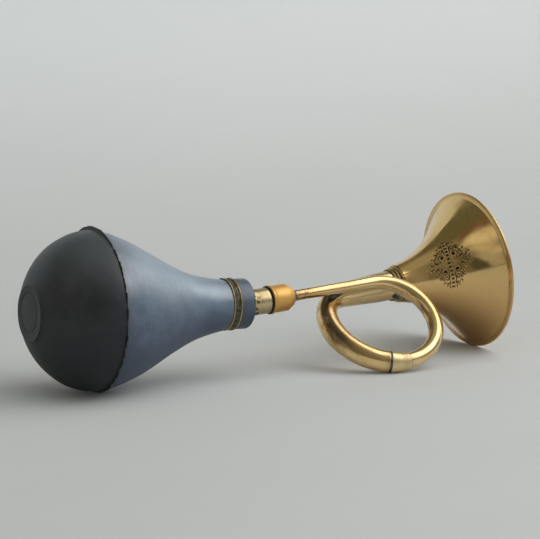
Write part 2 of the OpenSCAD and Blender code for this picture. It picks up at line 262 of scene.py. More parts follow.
# ------------------------------------------------------------------ materials
class Mat:
    def __init__(self, name):
        self.m = bpy.data.materials.new(name)
        self.m.use_nodes = True
        self.t = self.m.node_tree
        self.t.nodes.clear()
        self.out = self.t.nodes.new("ShaderNodeOutputMaterial")
        self.b = self.t.nodes.new("ShaderNodeBsdfPrincipled")
        self.t.links.new(self.b.outputs[0], self.out.inputs[0])
        self.co = self.t.nodes.new("ShaderNodeTexCoord").outputs["Object"]

    def put(self, sock, val):
        if hasattr(val, "links") or hasattr(val, "is_linked"):
            self.t.links.new(val, sock)
        elif isinstance(val, (tuple, list)) and len(val) == 3 and sock.type == "RGBA":
            sock.default_value = (*val, 1)
        else:
            sock.default_value = val

    def set(self, **kw):
        for k, v in kw.items():
            self.put(self.b.inputs[k.replace("_", " ")], v)

    def math(self, op, a, b=0.0, c=0.0, clamp=False):
        n = self.t.nodes.new("ShaderNodeMath")
        n.operation, n.use_clamp = op, clamp
        for s, v in zip(n.inputs, (a, b, c)):
            self.put(s, v)
        return n.outputs[0]

    def scaled(self, s, loc=(0, 0, 0)):
        n = self.t.nodes.new("ShaderNodeMapping")
        self.put(n.inputs[0], self.co)
        n.inputs["Scale"].default_value = s
        n.inputs["Location"].default_value = loc
        return n.outputs[0]

    def noise(self, scale, detail=4, rough=0.55, vec=None, dist=0.0):
        n = self.t.nodes.new("ShaderNodeTexNoise")
        self.put(n.inputs["Vector"], vec if vec is not None else self.co)
        n.inputs["Scale"].default_value = scale
        n.inputs["Detail"].default_value = detail
        n.inputs["Roughness"].default_value = rough
        n.inputs["Distortion"].default_value = dist
        return n.outputs[0]

    def cells(self, scale, vec=None, feature="F1"):
        n = self.t.nodes.new("ShaderNodeTexVoronoi")
        n.feature = feature
        self.put(n.inputs["Vector"], vec if vec is not None else self.co)
        n.inputs["Scale"].default_value = scale
        return n.outputs["Distance"]

    def attr(self, name):
        n = self.t.nodes.new("ShaderNodeAttribute")
        n.attribute_name = name
        return n.outputs["Fac"]

    def range(self, v, lo, hi, a=0.0, b=1.0):
        n = self.t.nodes.new("ShaderNodeMapRange")
        n.clamp = True
        n.interpolation_type = "SMOOTHSTEP"
        for s, x in zip(n.inputs, (v, lo, hi, a, b)):
            self.put(s, x)
        return n.outputs[0]

    def mix(self, f, a, b, mode="MIX"):
        n = self.t.nodes.new("ShaderNodeMix")
        n.data_type, n.blend_type = "RGBA", mode
        self.put(n.inputs[0], f)
        self.put(n.inputs[6], a)
        self.put(n.inputs[7], b)
        return n.outputs[2]

    def upward(self):
        """Upward part of the piece's own normal: where dust and bloom settle, and where painted highlights and painted
        shade are placed.
        """
        n = self.t.nodes.new("ShaderNodeSeparateXYZ")
        c = self.t.nodes.new("ShaderNodeTexCoord")
        self.put(n.inputs[0], c.outputs["Normal"])
        return n.outputs[2]

    def near(self, point_mm, r0, r1):
        """1 within r0 mm of a point in the row frame, falling to 0 at r1 mm."""
        n = self.t.nodes.new("ShaderNodeVectorMath")
        n.operation = "DISTANCE"
        self.put(n.inputs[0], self.co)
        n.inputs[1].default_value = tuple(float(v) * 0.001 for v in point_mm)
        return self.range(n.outputs["Value"], r0 * 0.001, r1 * 0.001, 1.0, 0.0)

    def bump(self, height, strength, dist_mm, normal=None):
        n = self.t.nodes.new("ShaderNodeBump")
        n.inputs["Strength"].default_value = strength
        n.inputs["Distance"].default_value = dist_mm * 0.001
        self.put(n.inputs["Height"], height)
        if normal is not None:
            self.put(n.inputs["Normal"], normal)
        return n.outputs[0]


def brass(name, bright, mid, stain, polish=0.14, tarnish=0.45, scratch=1.0, spots=0.5, extra=None, lacquer=0.0):
    """Brass with cloudy tarnish, brown stains, fine rubbing marks, pits and worn bright areas."""
    m = Mat(name)
    cloud = m.noise(38, 5, 0.6)
    fine = m.noise(240, 4, 0.6)
    streak = m.noise(60, 4, 0.65, m.scaled((0.35, 3.0, 3.0)))
    hair = m.noise(900, 2, 0.7, m.scaled((0.12, 1.0, 1.6)))
    pit = m.range(m.cells(620), 0.05, 0.16, 1.0, 0.0)
    pit = m.math("MULTIPLY", pit, m.range(fine, 0.52, 0.62))
    t = m.range(m.math("MULTIPLY_ADD", streak, 0.45, m.math("MULTIPLY", cloud, 0.55)), 0.5 - 0.10, 0.5 + 0.16)
    base = m.mix(m.math("MULTIPLY", t, tarnish), bright, mid)
    st = m.range(m.noise(21, 6, 0.7, dist=0.6), 0.56, 0.68)
    base = m.mix(m.math("MULTIPLY", st, spots), base, stain)
    base = m.mix(m.math("MULTIPLY", pit, 0.75), base, (0.05, 0.035, 0.02))
    rough = m.math("MULTIPLY_ADD", t, 0.14, polish)
    rough = m.math("MULTIPLY_ADD", hair, 0.05 * scratch, rough)
    rough = m.math("MULTIPLY_ADD", st, 0.10, rough)
    if extra:
        base, rough = extra(m, base, rough)
    n1 = m.bump(hair, 0.10 * scratch, 0.05)
    n2 = m.bump(m.math("SUBTRACT", fine, pit), 0.10, 0.12, n1)
    m.set(Base_Color=base, Roughness=rough, Metallic=1.0, Normal=m.bump(cloud, 0.06, 0.6, n2))
    if lacquer:
        m.set(Coat_Weight=m.math("MULTIPLY_ADD", t, -0.3 * lacquer, lacquer), Coat_IOR=1.8, Coat_Roughness=0.13)
    return m.m


def rubber(name, base, dust, rough=0.62, dusty=0.5, marks=0.5, grain=1.0, extra=None, sheen=0.0):
    """Moulded rubber: cloudy bloom, dust specks, scuffs and a fine grain."""
    m = Mat(name)
    cloud = m.noise(26, 6, 0.62, dist=0.4)
    mott = m.noise(130, 5, 0.7)
    fine = m.noise(1500, 3, 0.6)
    spk = m.range(m.cells(430), 0.03, 0.10, 1.0, 0.0)
    spk = m.math("MULTIPLY", spk, m.range(mott, 0.50, 0.60))
    scuff = m.range(m.noise(210, 4, 0.7, m.scaled((0.5, 2.2, 2.2)), 1.0), 0.60, 0.70)
    f = m.math("MULTIPLY_ADD", m.range(cloud, 0.35, 0.7), 0.65, m.math("MULTIPLY", m.range(mott, 0.4, 0.65), 0.35))
    col = m.mix(m.math("MULTIPLY", f, dusty), base, dust)
    col = m.mix(m.math("MULTIPLY", scuff, marks * 0.5), col, tuple(min(1, c * 1.9 + 0.02) for c in dust))
    col = m.mix(m.math("MULTIPLY", spk, marks), col, tuple(c * 0.25 for c in base))
    r = m.math("MULTIPLY_ADD", f, 0.12, rough)
    if extra:
        col, r = extra(m, col, r)
    n1 = m.bump(fine, 0.25 * grain, 0.05)
    n2 = m.bump(mott, 0.16 * grain, 0.25, n1)
    m.set(Base_Color=col, Roughness=r, Metallic=0.0, Specular_IOR_Level=0.42, Normal=m.bump(cloud, 0.10, 0.9, n2))
    if sheen:
        wax = m.math("MULTIPLY", m.math("MULTIPLY_ADD", f, 0.45 * sheen, 0.55 * sheen), m.range(m.upward(), -0.55, 0.45, 0.12, 1.0))
        wax = m.math("MULTIPLY", wax, m.range(m.attr("ax"), -22.5, -28, 0.40, 1.0))
        m.set(Coat_Weight=wax, Coat_IOR=2.2, Coat_Roughness=0.34, Coat_Tint=(0.86, 0.94, 1.0))
    return m.m


def solder(name):
    m = Mat(name)
    c = m.noise(300, 4, 0.6)
    g = m.noise(90, 5, 0.6)
    col = m.mix(m.range(g, 0.36, 0.6), (0.30, 0.315, 0.34), (0.085, 0.085, 0.09))
    col = m.mix(m.range(c, 0.56, 0.66), col, (0.05, 0.045, 0.04))
    m.set(Base_Color=col, Roughness=m.math("MULTIPLY_ADD", c, 0.3, 0.38), Metallic=1.0, Normal=m.bump(c, 0.35, 0.2, m.bump(g, 0.3, 0.5)))
    return m.m


def world_of(fn, p):
    return (fn(np.array([p], float))[0] * 1000).tolist()


def tube_at(q):
    return world_of(horn, path(np.array([float(q)]))[0])


BRIGHT, MID, STAIN = (0.86, 0.615, 0.27), (0.68, 0.43, 0.145), (0.30, 0.14, 0.045)


def inlet_extra(m, base, rough):
    # darker, redder brass by the coupling, and painted dark reflection streaks along the inner side of the front bend
    near = m.near(tube_at(-55), 4, 30)
    base = m.mix(m.math("MULTIPLY", near, 0.7), base, (0.62, 0.33, 0.09))
    q, a = m.attr("ax"), m.attr("ang")
    # dark noisy patches on the tube just past the coupling
    dark_patches = m.math("MULTIPLY", m.range(q, -41, -50), m.range(m.noise(330, 5, 0.7), 0.44, 0.58))
    base = m.mix(m.math("MULTIPLY", dark_patches, 0.85), base, (0.05, 0.032, 0.02))
    # painted dark reflection: olive-brown streaks along the inner side of the front bend
    inner = m.math("MULTIPLY", m.range(q, 20, 60), m.range(q, 150, 120))
    side = m.range(m.math("ABSOLUTE", m.math("SUBTRACT", a, 3.3)), 0.25, 0.75, 1.0, 0.0)
    inner = m.math("MULTIPLY", m.math("MULTIPLY", inner, side), m.range(m.noise(140, 5, 0.7), 0.4, 0.6))
    base = m.mix(m.math("MULTIPLY", inner, 0.7), base, (0.10, 0.07, 0.02))
    end = m.math("MULTIPLY", m.range(q, 160, 174), 0.35)
    base = m.mix(end, base, (0.95, 0.80, 0.45))
    return base, m.math("MULTIPLY_ADD", inner, 0.2, rough)


def outlet_extra(m, base, rough):
    q, a = m.attr("ax"), m.attr("ang")
    red = m.math("MULTIPLY", m.range(q, 235, 262), m.range(q, 325, 300))
    red = m.math("MULTIPLY", red, m.range(m.noise(75, 5, 0.7), 0.40, 0.62))
    red = m.math("MULTIPLY", red, m.range(m.math("ABSOLUTE", m.math("SUBTRACT", a, 6.0)), 0.25, 0.8, 1.0, 0.35))
    base = m.mix(m.math("MULTIPLY", red, 0.75), base, (0.42, 0.17, 0.055))
    # a long painted dark reflection, olive-brown, along the near side of the left bend
    painted_dark_reflection = m.math("MULTIPLY", m.range(q, 222, 262), m.range(q, 352, 322))
    side = m.range(m.math("ABSOLUTE", m.math("SUBTRACT", a, 5.22)), 0.22, 0.62, 1.0, 0.0)
    painted_dark_reflection = m.math("MULTIPLY", m.math("MULTIPLY", painted_dark_reflection, side), m.range(m.noise(60, 5, 0.6, m.scaled((1.6, 0.8, 1.4))), 0.28, 0.46))
    base = m.mix(m.math("MULTIPLY", painted_dark_reflection, 0.93), base, (0.085, 0.052, 0.014))
    tip = m.range(q, 209, 203.5)
    base = m.mix(m.math("MULTIPLY", tip, 0.4), base, (0.16, 0.11, 0.05))
    gold = m.range(q, 345, 375)
    base = m.mix(m.math("MULTIPLY", gold, 0.45), base, (0.62, 0.50, 0.27))
    rough = m.math("MULTIPLY_ADD", gold, 0.10, rough)
    return base, m.math("MULTIPLY_ADD", m.math("MAXIMUM", red, painted_dark_reflection), 0.16, rough)


def bell_extra(m, base, rough):
    eng, x = m.attr("engrave"), m.attr("ax")
    base = m.mix(m.range(eng, 0.25, 0.75), base, (0.022, 0.016, 0.010))
    # painted shade: the downward-facing parts of the bell are browner and darker
    base = m.mix(m.range(m.upward(), 0.28, -0.6, 0.0, 0.85), base, (0.57, 0.345, 0.145))
    rim = m.range(m.attr("rad"), 48.75, 49.1)
    base = m.mix(m.math("MULTIPLY", rim, 0.5), base, (0.60, 0.36, 0.15))
    foot = m.math("MULTIPLY", m.range(x, 112, 104), 0.5)
    base = m.mix(foot, base, (0.62, 0.40, 0.12))
    rough = m.math("MULTIPLY_ADD", m.range(eng, 0.25, 0.75), 0.5, rough)
    rough = m.math("MULTIPLY_ADD", rim, 0.12, rough)
    return base, rough


def groove_extra(m, base, rough):
    g = m.attr("groove")
    g = m.math("MULTIPLY", g, m.range(m.noise(300, 4, 0.7), 0.3, 0.5, 0.6, 1.0))
    base = m.mix(g, base, (0.045, 0.035, 0.018))
    return base, m.math("MULTIPLY_ADD", g, 0.3, rough)


def nut_extra(m, base, rough):
    # painted shade: the coupling's underside is darker and redder
    underside_shade = m.math("MULTIPLY", m.range(m.upward(), 0.15, -0.75), 0.65)
    return m.mix(underside_shade, base, (0.42, 0.20, 0.055)), rough


def nipple_extra(m, base, rough):
    x = m.attr("ax")
    glue = m.math("MULTIPLY", m.range(x, -3.0, -8.5), m.range(m.noise(430, 5, 0.75), 0.49, 0.55))
    # painted shade: darker brown on the underside
    base = m.mix(m.range(m.upward(), 0.15, -0.7, 0.0, 0.6), base, (0.24, 0.18, 0.085))
    base = m.mix(m.math("MULTIPLY", glue, 0.95), base, (0.015, 0.014, 0.012))
    return base, m.math("MULTIPLY_ADD", glue, 0.25, rough)


def band_extra(m, base, rough):
    e = m.attr("edge")
    e = m.math("MULTIPLY", e, m.range(m.noise(420, 4, 0.7), 0.30, 0.46))
    dark = m.mix(m.range(m.noise(330, 5, 0.7), 0.42, 0.58), (0.068, 0.066, 0.050), (0.165, 0.158, 0.115))
    return m.mix(e, dark, base), m.math("MULTIPLY_ADD", e, -0.25, 0.62)


M_INLET = brass("brass_inlet", BRIGHT, MID, STAIN, 0.13, 0.55, 1.0, 0.25, inlet_extra, 0.8)
M_OUTLET = brass("brass_outlet", BRIGHT, MID, STAIN, 0.14, 0.6, 1.0, 0.35, outlet_extra, 0.7)
M_LOOPF = brass("brass_loop_ferrule", (0.88, 0.72, 0.40), (0.66, 0.50, 0.23), STAIN, 0.27, 0.5, 1.2, 0.2)
M_BELL = brass("brass_bell", (0.82, 0.575, 0.25), (0.72, 0.48, 0.185), (0.44, 0.25, 0.09), 0.07, 0.5, 0.7, 0.2, bell_extra)
M_RIDGE = brass("brass_bell_ferrule", (0.60, 0.44, 0.20), (0.36, 0.24, 0.09), STAIN, 0.2, 0.8, 1.0, 0.45, groove_extra)
M_NUT = brass("brass_coupling", (0.92, 0.58, 0.19), (0.80, 0.44, 0.12), (0.45, 0.19, 0.05), 0.45, 0.55, 1.0, 0.3, nut_extra)
M_NIPPLE = brass("brass_nipple", (0.74, 0.60, 0.36), (0.44, 0.33, 0.16), (0.17, 0.11, 0.05), 0.24, 1.0, 1.2, 0.75, nipple_extra)
M_BAND = brass("brass_band", (0.72, 0.52, 0.20), (0.55, 0.38, 0.14), STAIN, 0.3, 0.5, 1.0, 0.4, band_extra)
M_INNER = brass("brass_reed", (0.78, 0.60, 0.28), (0.60, 0.42, 0.16), STAIN, 0.28, 0.5, 1.0, 0.3)
M_SOLDER = solder("soft_solder")
M_SEAL = rubber("seal_black", (0.012, 0.012, 0.012), (0.04, 0.04, 0.04), 0.55, 0.4, 0.3)
M_LEATHER = rubber("seal_leather", (0.10, 0.05, 0.025), (0.18, 0.10, 0.05), 0.7, 0.5, 0.3)


def cone_extra(m, col, r):
    x = m.attr("ax")
    # fine rings on the neck, and a darker band just before the seam
    rings = m.t.nodes.new("ShaderNodeTexWave")
    rings.wave_type, rings.bands_direction = "BANDS", "X"
    rings.inputs["Scale"].default_value = 520
    rings.inputs["Distortion"].default_value = 1.5
    m.put(rings.inputs["Vector"], m.co)
    neck = m.range(x, -40, -28)
    line = m.math("MULTIPLY", m.math("MULTIPLY", rings.outputs["Fac"], neck), 0.22)
    col = m.mix(line, col, (0.26, 0.30, 0.34))
    # faint rings rubbed round the body, light and dark
    sweep_n = m.noise(150, 5, 0.75, m.scaled((3.2, 0.45, 0.45)), 0.5)
    col = m.mix(m.range(sweep_n, 0.56, 0.72, 0.0, 0.30), col, (0.25, 0.31, 0.38))
    col = m.mix(m.range(sweep_n, 0.44, 0.30, 0.0, 0.45), col, (0.030, 0.042, 0.066))
    # settled dust and a painted highlight: lighter blue on the upward faces, weaker at the very top, on the neck and
    # near the seam
    up = m.upward()
    dust_and_sheen = m.math("MULTIPLY", m.range(up, -0.15, 0.72), m.range(m.noise(34, 5, 0.65), 0.25, 0.62, 0.62, 1.0))
    body = m.math("MULTIPLY", m.math("MULTIPLY", dust_and_sheen, m.range(x, -26, -44, 0.22, 1.0)), m.range(up, 0.58, 1.0, 1.0, 0.30))
    body = m.math("MULTIPLY", body, m.range(x, -115, -84, 0.35, 1.0))
    col = m.mix(m.math("MULTIPLY", body, 0.85), col, (0.270, 0.350, 0.440))
    # painted shade: darker blue on the underside
    col = m.mix(m.math("MULTIPLY", m.range(up, 0.15, -0.75), 0.6), col, (0.024, 0.034, 0.056))
    col = m.mix(m.range(x, -27, -23, 0.0, 0.5), col, (0.026, 0.036, 0.052))
    col = m.mix(m.range(x, -98, -114, 0.0, 0.28), col, (0.026, 0.036, 0.052))
    rim = m.range(x, -112.5, -115.2)
    col = m.mix(m.math("MULTIPLY", rim, 0.55), col, (0.02, 0.022, 0.026))
    return col, r


def dome_extra(m, col, r):
    x, rad = m.attr("ax"), m.attr("rad")
    fin = m.attr("fin")
    up = m.upward()
    # painted highlight: lighter on the upper faces
    col = m.mix(m.math("MULTIPLY", m.range(up, 0.25, 0.95), 0.8), col, (0.060, 0.070, 0.076))
    # painted shade: darker on the underside
    col = m.mix(m.math("MULTIPLY", m.range(up, 0.2, -0.6), 0.5), col, (0.006, 0.006, 0.0085))
    col = m.mix(m.math("MULTIPLY", fin, 0.8), col, (0.008, 0.008, 0.009))
    return col, r


M_CONE = rubber("rubber_front", (0.049, 0.078, 0.134), (0.108, 0.156, 0.236), 0.42, 0.75, 0.5, 1.0, cone_extra, 1.0)
M_DOME = rubber("rubber_rear", (0.010, 0.0108, 0.0135), (0.024, 0.027, 0.032), 0.50, 0.6, 0.3, 1.0, dome_extra, 0.22)

# ----------------------------------------------------------------------- bulb
SEAM, RB = -115.7, 47.4
ANG = 2 * math.pi


def cone_disp(x, r, a):
    p = np.stack([x, r * np.sin(a), r * np.cos(a)], -1)
    outer = r > 9
    u = np.clip((x - SEAM) / (-20 - SEAM), 0, 1)
    sag = -1.15 * np.sin(np.pi * u) ** 1.2
    lump = 0.22 * fnoise(p, 0.045, 3.0, 2) * np.clip((x - SEAM) / 6, 0, 1) * np.clip((-32 - x) / 8, 0, 1)
    return x, r + np.where(outer, lump, 0), 0.0, sag


CK = [(SEAM, RB), (-111.5, 46.7), (-107, 45.5), (-98, 42.4), (-88, 38.0), (-78, 32.8), (-68, 27.5), (-58, 22.8),
      (-48, 19.2), (-38, 16.9), (-31, 15.75), (-27, 15.35), (-20, 15.4), (-16.5, 15.4)]
xs = np.linspace(SEAM + 0.03, -16.5, 110)
outer = np.stack([xs, catmull(CK, xs)], -1)
lip = fillet([(-16.5, 15.4, 0), (-13.95, 15.4, 1.4), (-13.9, 8.06, 0.5), (-40.0, 8.06, 0.2), (-41.0, 12.0, 1.5)], 0.5, 7, False)[1:]
xi = np.linspace(-42.0, SEAM + 0.03, 50)
inner = np.stack([xi, catmull(CK, xi) - 3.4], -1)
prof = np.vstack([outer, densify(lip, 2.0, False), inner])
v, f, at = revolve(prof, on_bulb, 144, disp=cone_disp)
# the bore stays on the brass tube's axis, so the inner wall of the neck is placed along it
sel = (at["rad"] < 8.2) & (at["ax"] > -40.5)
sx, sr, sa = at["ax"][sel], at["rad"][sel], at["ang"][sel]
v[sel] = horn(np.stack([sx, -sr * np.sin(sa), sr * np.cos(sa)], -1))
b0 = on_bulb(np.array([[-46.0, 0, 0]]))[0]
b1 = on_bulb(np.array([[-113.5, 0, 0]]))[0]
cone = make("bulb_front_skin", v, f, None, M_CONE, at, 60, ["bulb_cone"],
            ("bulb_neck", "bulb_end", tuple(b0), tuple(b1)))

# rear half: boss, dome and a torn flash fin
L = 42.0
root = SEAM - L * math.sqrt(1 - (17.0 / RB) ** 2)
fa = np.linspace(0, ANG, 720, endpoint=False)
ctrl = RNG.rand(260)
wob = np.interp(fa, np.linspace(0, ANG, 261), np.append(ctrl, ctrl[0]))
FIN_KEYS = [(0, 2.05), (10, 1.95), (20, 1.65), (35, 1.5), (37, 1.25), (55, 1.35), (57, 1.15), (72, 1.25), (80, 1.05), (98, 1.2), (100, 1.8), (103, 1.45),
            (115, 1.6), (117, 1.25), (130, 1.55), (147, 1.95), (156, 1.75), (163, 1.55), (170, 1.2), (181, 0.95), (192, 0.9), (205, 1.2), (230, 1.5), (234, 1.0),
            (262, 1.4), (266, 1.1), (290, 1.4), (310, 1.1), (331, 0.8), (332.5, 2.0), (340, 2.3), (350, 2.3), (360, 2.05)]
fin_h = np.interp(np.degrees(fa), [k[0] for k in FIN_KEYS], [k[1] for k in FIN_KEYS]) + 0.62 * (wob - 0.5)
fin_h -= 0.42 * np.clip((np.degrees(fa) - 14) / 12, 0, 1) * np.clip((335 - np.degrees(fa)) / 8, 0, 1)
for c0, w0, d0 in ((24, 0.9, -0.6), (33, 1.1, -0.9), (45, 0.8, -0.6), (57.5, 1.3, -0.8), (68, 0.8, -0.6), (79, 1.2, -0.7), (91, 0.9, -0.7), (109, 1.4, -0.9),
                   (117, 0.9, -0.8), (127, 1.1, -0.7), (136, 0.8, -0.6), (144, 1.2, -0.8), (215, 1.6, -0.8), (246, 1.2, -0.7), (274, 1.3, -0.7), (301, 1.5, -0.6), (318, 1.2, -0.5)):
    fin_h += d0 * np.exp(-((np.degrees(fa) - c0) / w0) ** 2)
for c0, w0, d0 in ((36, 6, 0.5), (47, 4, 0.35), (56, 5, 0.5), (70, 5, 0.35), (81, 4, 0.4), (99, 6, 0.75), (116, 6, 0.6), (131, 5, 0.5), (148, 6, 0.6), (159, 4, 0.4),
                   (204, 6, 0.5), (233, 7, 0.6), (265, 6, 0.5), (291, 6, 0.5), (312, 5, 0.4)):
    fin_h += np.where(np.degrees(fa) >= c0, d0 * np.exp(-np.clip(np.degrees(fa) - c0, 0, 90) / w0), 0)
fin_h = np.clip(fin_h, 0.22, 2.4)


FACE = -156.2
boss = fillet([(FACE + 0.35, 0, 0), (FACE + 0.35, 11.3, 0.1), (FACE + 0.75, 11.55, 0.12), (FACE + 0.75, 11.85, 0.12), (FACE + 0.3, 12.1, 0.15),
               (FACE + 0.25, 15.6, 0.3), (FACE + 0.05, 16.3, 0.4), (FACE + 0.3, 16.95, 0.3), (FACE + 0.85, 17.1, 0.12), (FACE + 0.85, 17.35, 0.12), (FACE + 0.95, 17.75, 0.2)], 0.2, 4, False)
x0 = -SEAM
td = np.linspace(math.radians(21.8), math.radians(88.5), 84)
dome = np.stack([SEAM - 42.4 * np.cos(td), RB * np.sin(td) ** 1.03], -1)
dome = dome[dome[:, 1] > 18.0]
FIN = 4  # number of fin profile points
finp = np.array([[SEAM - 0.62, RB - 0.02], [SEAM - 0.33, RB + 0.4], [SEAM - 0.22, RB + 1.0], [SEAM - 0.03, RB + 1.0]])
inn = np.stack([SEAM - (L - 3.4) * np.sin(np.linspace(0, math.pi / 2, 30)), (RB - 3.4) * np.cos(np.linspace(0, math.pi / 2, 30))], -1)
inn[0, 0] = SEAM - 0.03
inn[-1, 1] = 0
prof = np.vstack([boss, dome, finp, inn])
i_fin = len(boss) + len(dome) - 1  # index in the ring list, the first pole point being dropped


def dome_disp(x, r, a):
    p = np.stack([x, r * np.sin(a), r * np.cos(a)], -1)
    amt = np.clip((SEAM - 1.5 - x) / 6, 0, 1) * (np.arange(len(x)) < i_fin)[:, None]
    r = r + 0.25 * fnoise(p, 0.04, 5.0, 2) * amt
    r[i_fin + 1] = RB + 0.5 * fin_h
    r[i_fin + 2] = RB + fin_h
    r[i_fin + 3] = RB + fin_h * 0.96
    x[i_fin + 2] += 0.3 * (wob - 0.5)
    # the inner disc of the boss sits slightly off centre
    dz = np.where((r < 12.2) & (x < FACE + 1.2), 0.45, 0.0)
    dy = np.where((r < 12.2) & (x < FACE + 1.2), 0.5, 0.0)
    return x, r, dy, dz


v, f, at = revolve(prof, on_bulb, angs=fa, disp=dome_disp)
ring = np.arange(len(v)) // len(fa)
at["fin"] = ((ring >= i_fin + 1) & (ring <= i_fin + 3)).astype(float)
make("bulb_rear_skin", v, f, "bulb_end", M_DOME, at, 35, ["bulb_dome"])

# binding band on the neck
def band_disp(x, r, a):
    p = np.stack([x * 3, r * np.sin(a), r * np.cos(a)], -1)
    e = 0.10 * fnoise(p, 0.35, 8.0, 2)
    return x + 0.5 * e, r + np.where(r > 15.5, e * 0.8, 0), 0.0, 0.0


def edge_of(x):
    return np.maximum(np.exp(-((x + 28.75) / 0.34) ** 4), np.exp(-((x + 24.05) / 0.34) ** 4))


prof = densify(fillet([(-29.3, 15.42), (-29.25, 15.85), (-28.75, 16.1), (-28.25, 15.9), (-28.0, 15.68), (-24.8, 15.68), (-24.55, 15.9),
                       (-24.05, 16.1), (-23.55, 15.85), (-23.5, 15.42)], 0.15, 4), 0.5)
v, f, at = revolve(prof, on_bulb, 220, disp=band_disp)
at["edge"] = edge_of(at["ax"]) * (at["rad"] > 15.6)
make("neck_band_skin", v, f, "bulb_neck", M_BAND, at, 50, ["neck_band"])

# neck tube, with the ringed thread on its hidden end
prof = [(-36, 7.25), (-36, 7.7), (-35.6, 8.0), (1.4, 8.0, 0.15), (1.4, 6.65, 0.05), (3.2, 6.65, 0.05)]
for i in range(6):
    s = 3.3 + 0.977 * i
    prof += [(s + 0.29, 7.08, 0.04), (s + 0.44, 7.08, 0.04), (s + 0.93, 6.62, 0.04)]
prof += [(9.25, 6.6, 0.05), (9.25, 5.95, 0.05), (0.2, 5.95), (-1.1, 7.25)]
v, f, at = revolve(densify(fillet(prof, 0.12, 4), 1.5), horn, 120)
make("neck_tube_skin", v, f, "bulb_neck", M_NIPPLE, at, 40, ["nipple"])

# cement collar with lumps squeezed out round the tube
def cement_disp(x, r, a):
    p = np.stack([3 * np.cos(a), 3 * np.sin(a), x * 0.4], -1)
    e = fnoise(p, 1.1, 2.0, 3)
    k = r > 8.2
    return x + np.where(k & (x > -12.6), 0.55 * e, 0), r + np.where(k, 0.35 * e, 0), 0.0, 0.0


prof = densify(fillet([(-13.5, 8.05), (-13.5, 9.0), (-12.6, 8.95), (-12.0, 8.5), (-11.7, 8.05)], 0.2, 4), 0.4)
v, f, at = revolve(prof, horn, 120, disp=cement_disp)
make("neck_cement_skin", v, f, "bulb_neck", M_SEAL, at, 50, ["neck_cement"])

# ------------------------------------------------------------------- coupling
prof = [(2.9, 7.15), (2.9, 8.55, 0.2), (3.25, 9.0, 0.4), (3.85, 9.05, 0.5), (4.5, 8.9, 0.4), (4.85, 8.45, 0.12), (5.05, 8.1, 0.08), (5.35, 8.33, 0.2), (10.0, 8.42, 2.0),
        (14.9, 8.35, 0.5), (18.6, 6.1, 0.6), (19.3, 5.2, 0.3), (19.4, 3.36, 0.1),
        (13.4, 3.36, 0.1), (13.4, 5.4, 0.1), (11.6, 5.4, 0.1), (11.6, 7.15, 0.1)]


def nut_disp(x, r, a):
    p = np.stack([x, r * np.sin(a), r * np.cos(a)], -1)
    return x, r + np.where(r > 7.3, 0.05 * fnoise(p, 0.25, 4.0, 2), 0), 0.0, 0.0


v, f, at = revolve(densify(fillet(prof, 0.12, 5), 0.8), horn, 128, disp=nut_disp)
make("coupling_nut_skin", v, f, "horn", M_NUT, at, 34, ["coupling_nut"])


def wavy(x, r, a):
    p = np.stack([2 * np.cos(a), 2 * np.sin(a), x], -1)
    e = fnoise(p, 1.3, 6.0, 2)
    return x, r + np.where(r > 8, 0.16 * e, 0), 0.0, 0.0


v, f, at = revolve(fillet([(1.45, 7.15), (1.45, 7.9, 0.1), (2.0, 8.1, 0.2), (2.08, 8.75, 0.2), (2.5, 8.9, 0.25), (2.84, 8.6, 0.2), (2.86, 7.15)], 0.1, 5), horn, 128, disp=wavy)
make("coupling_washer_skin", v, f, "washer", M_SEAL, at, 50, ["coupling_washer"])


def fillet_disp(x, r, a):
    p = np.stack([2 * np.cos(a), 2 * np.sin(a), x * 0.6], -1)
    e = fnoise(p, 1.2, 9.0, 3)
    return x + np.where(r > 3.5, 0.22 * e, 0), r + np.where(r > 3.5, 0.16 * e, 0), 0.0, 0.0


v, f, at = revolve(densify(fillet([(19.42, 3.35), (19.42, 4.75, 0.2), (20.1, 4.35, 0.4), (20.9, 3.8, 0.4), (21.7, 3.38, 0.1), (21.6, 3.34)], 0.2, 4), 0.3), horn, 96, disp=fillet_disp)
make("coupling_solder_skin", v, f, "horn", M_SOLDER, at, 50, ["coupling_solder"])

# ---------------------------------------------------------------------- tubes
def qs_of(a, b, step=1.2):
    return np.linspace(a, b, int((b - a) / step) + 1)


IK = [(-65, 3.3), (-48, 3.3), (-28, 3.55), (0, 3.95), (45, 4.9), (90, 5.0), (135, 4.65), (168, 4.8), (190, 4.8)]
OK_ = [(195, 6.8), (206, 6.8), (235, 7.2), (270, 7.3), (315, 6.7), (360, 8.1), (390, 9.4), (410, 9.4)]
q = qs_of(-64, 183)
v, f, at = sweep(q, catmull(IK, q), catmull(IK, q) - 0.6, 56, 0.02, 0.08, 1.0)
make("inlet_tube_skin", v, f, "horn", M_INLET, at, 40, ["inlet_tube"])
q = qs_of(203.3, 399)
v, f, at = sweep(q, catmull(OK_, q), catmull(OK_, q) - 0.6, 64, 0.02, 0.11, 2.0)
make("outlet_tube_skin", v, f, "horn", M_OUTLET, at, 40, ["outlet_tube"])
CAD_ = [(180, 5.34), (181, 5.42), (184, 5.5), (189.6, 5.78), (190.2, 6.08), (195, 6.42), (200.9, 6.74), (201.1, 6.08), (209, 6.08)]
FI_ = [(180, 4.86), (184, 4.9), (200, 5.4), (209, 5.4)]
q = np.unique(np.concatenate([qs_of(180, 209, 0.5), [189.6, 190.1, 200.9, 201.1]]))
fo = np.interp(q, [k[0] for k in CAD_], [k[1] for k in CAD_])
v, f, at = sweep(q, fo, np.interp(q, [k[0] for k in FI_], [k[1] for k in FI_]), 64, 0.0, 0.11, 3.0)
make("loop_ferrule_skin", v, f, "horn", M_LOOPF, at, 30, ["loop_ferrule"])

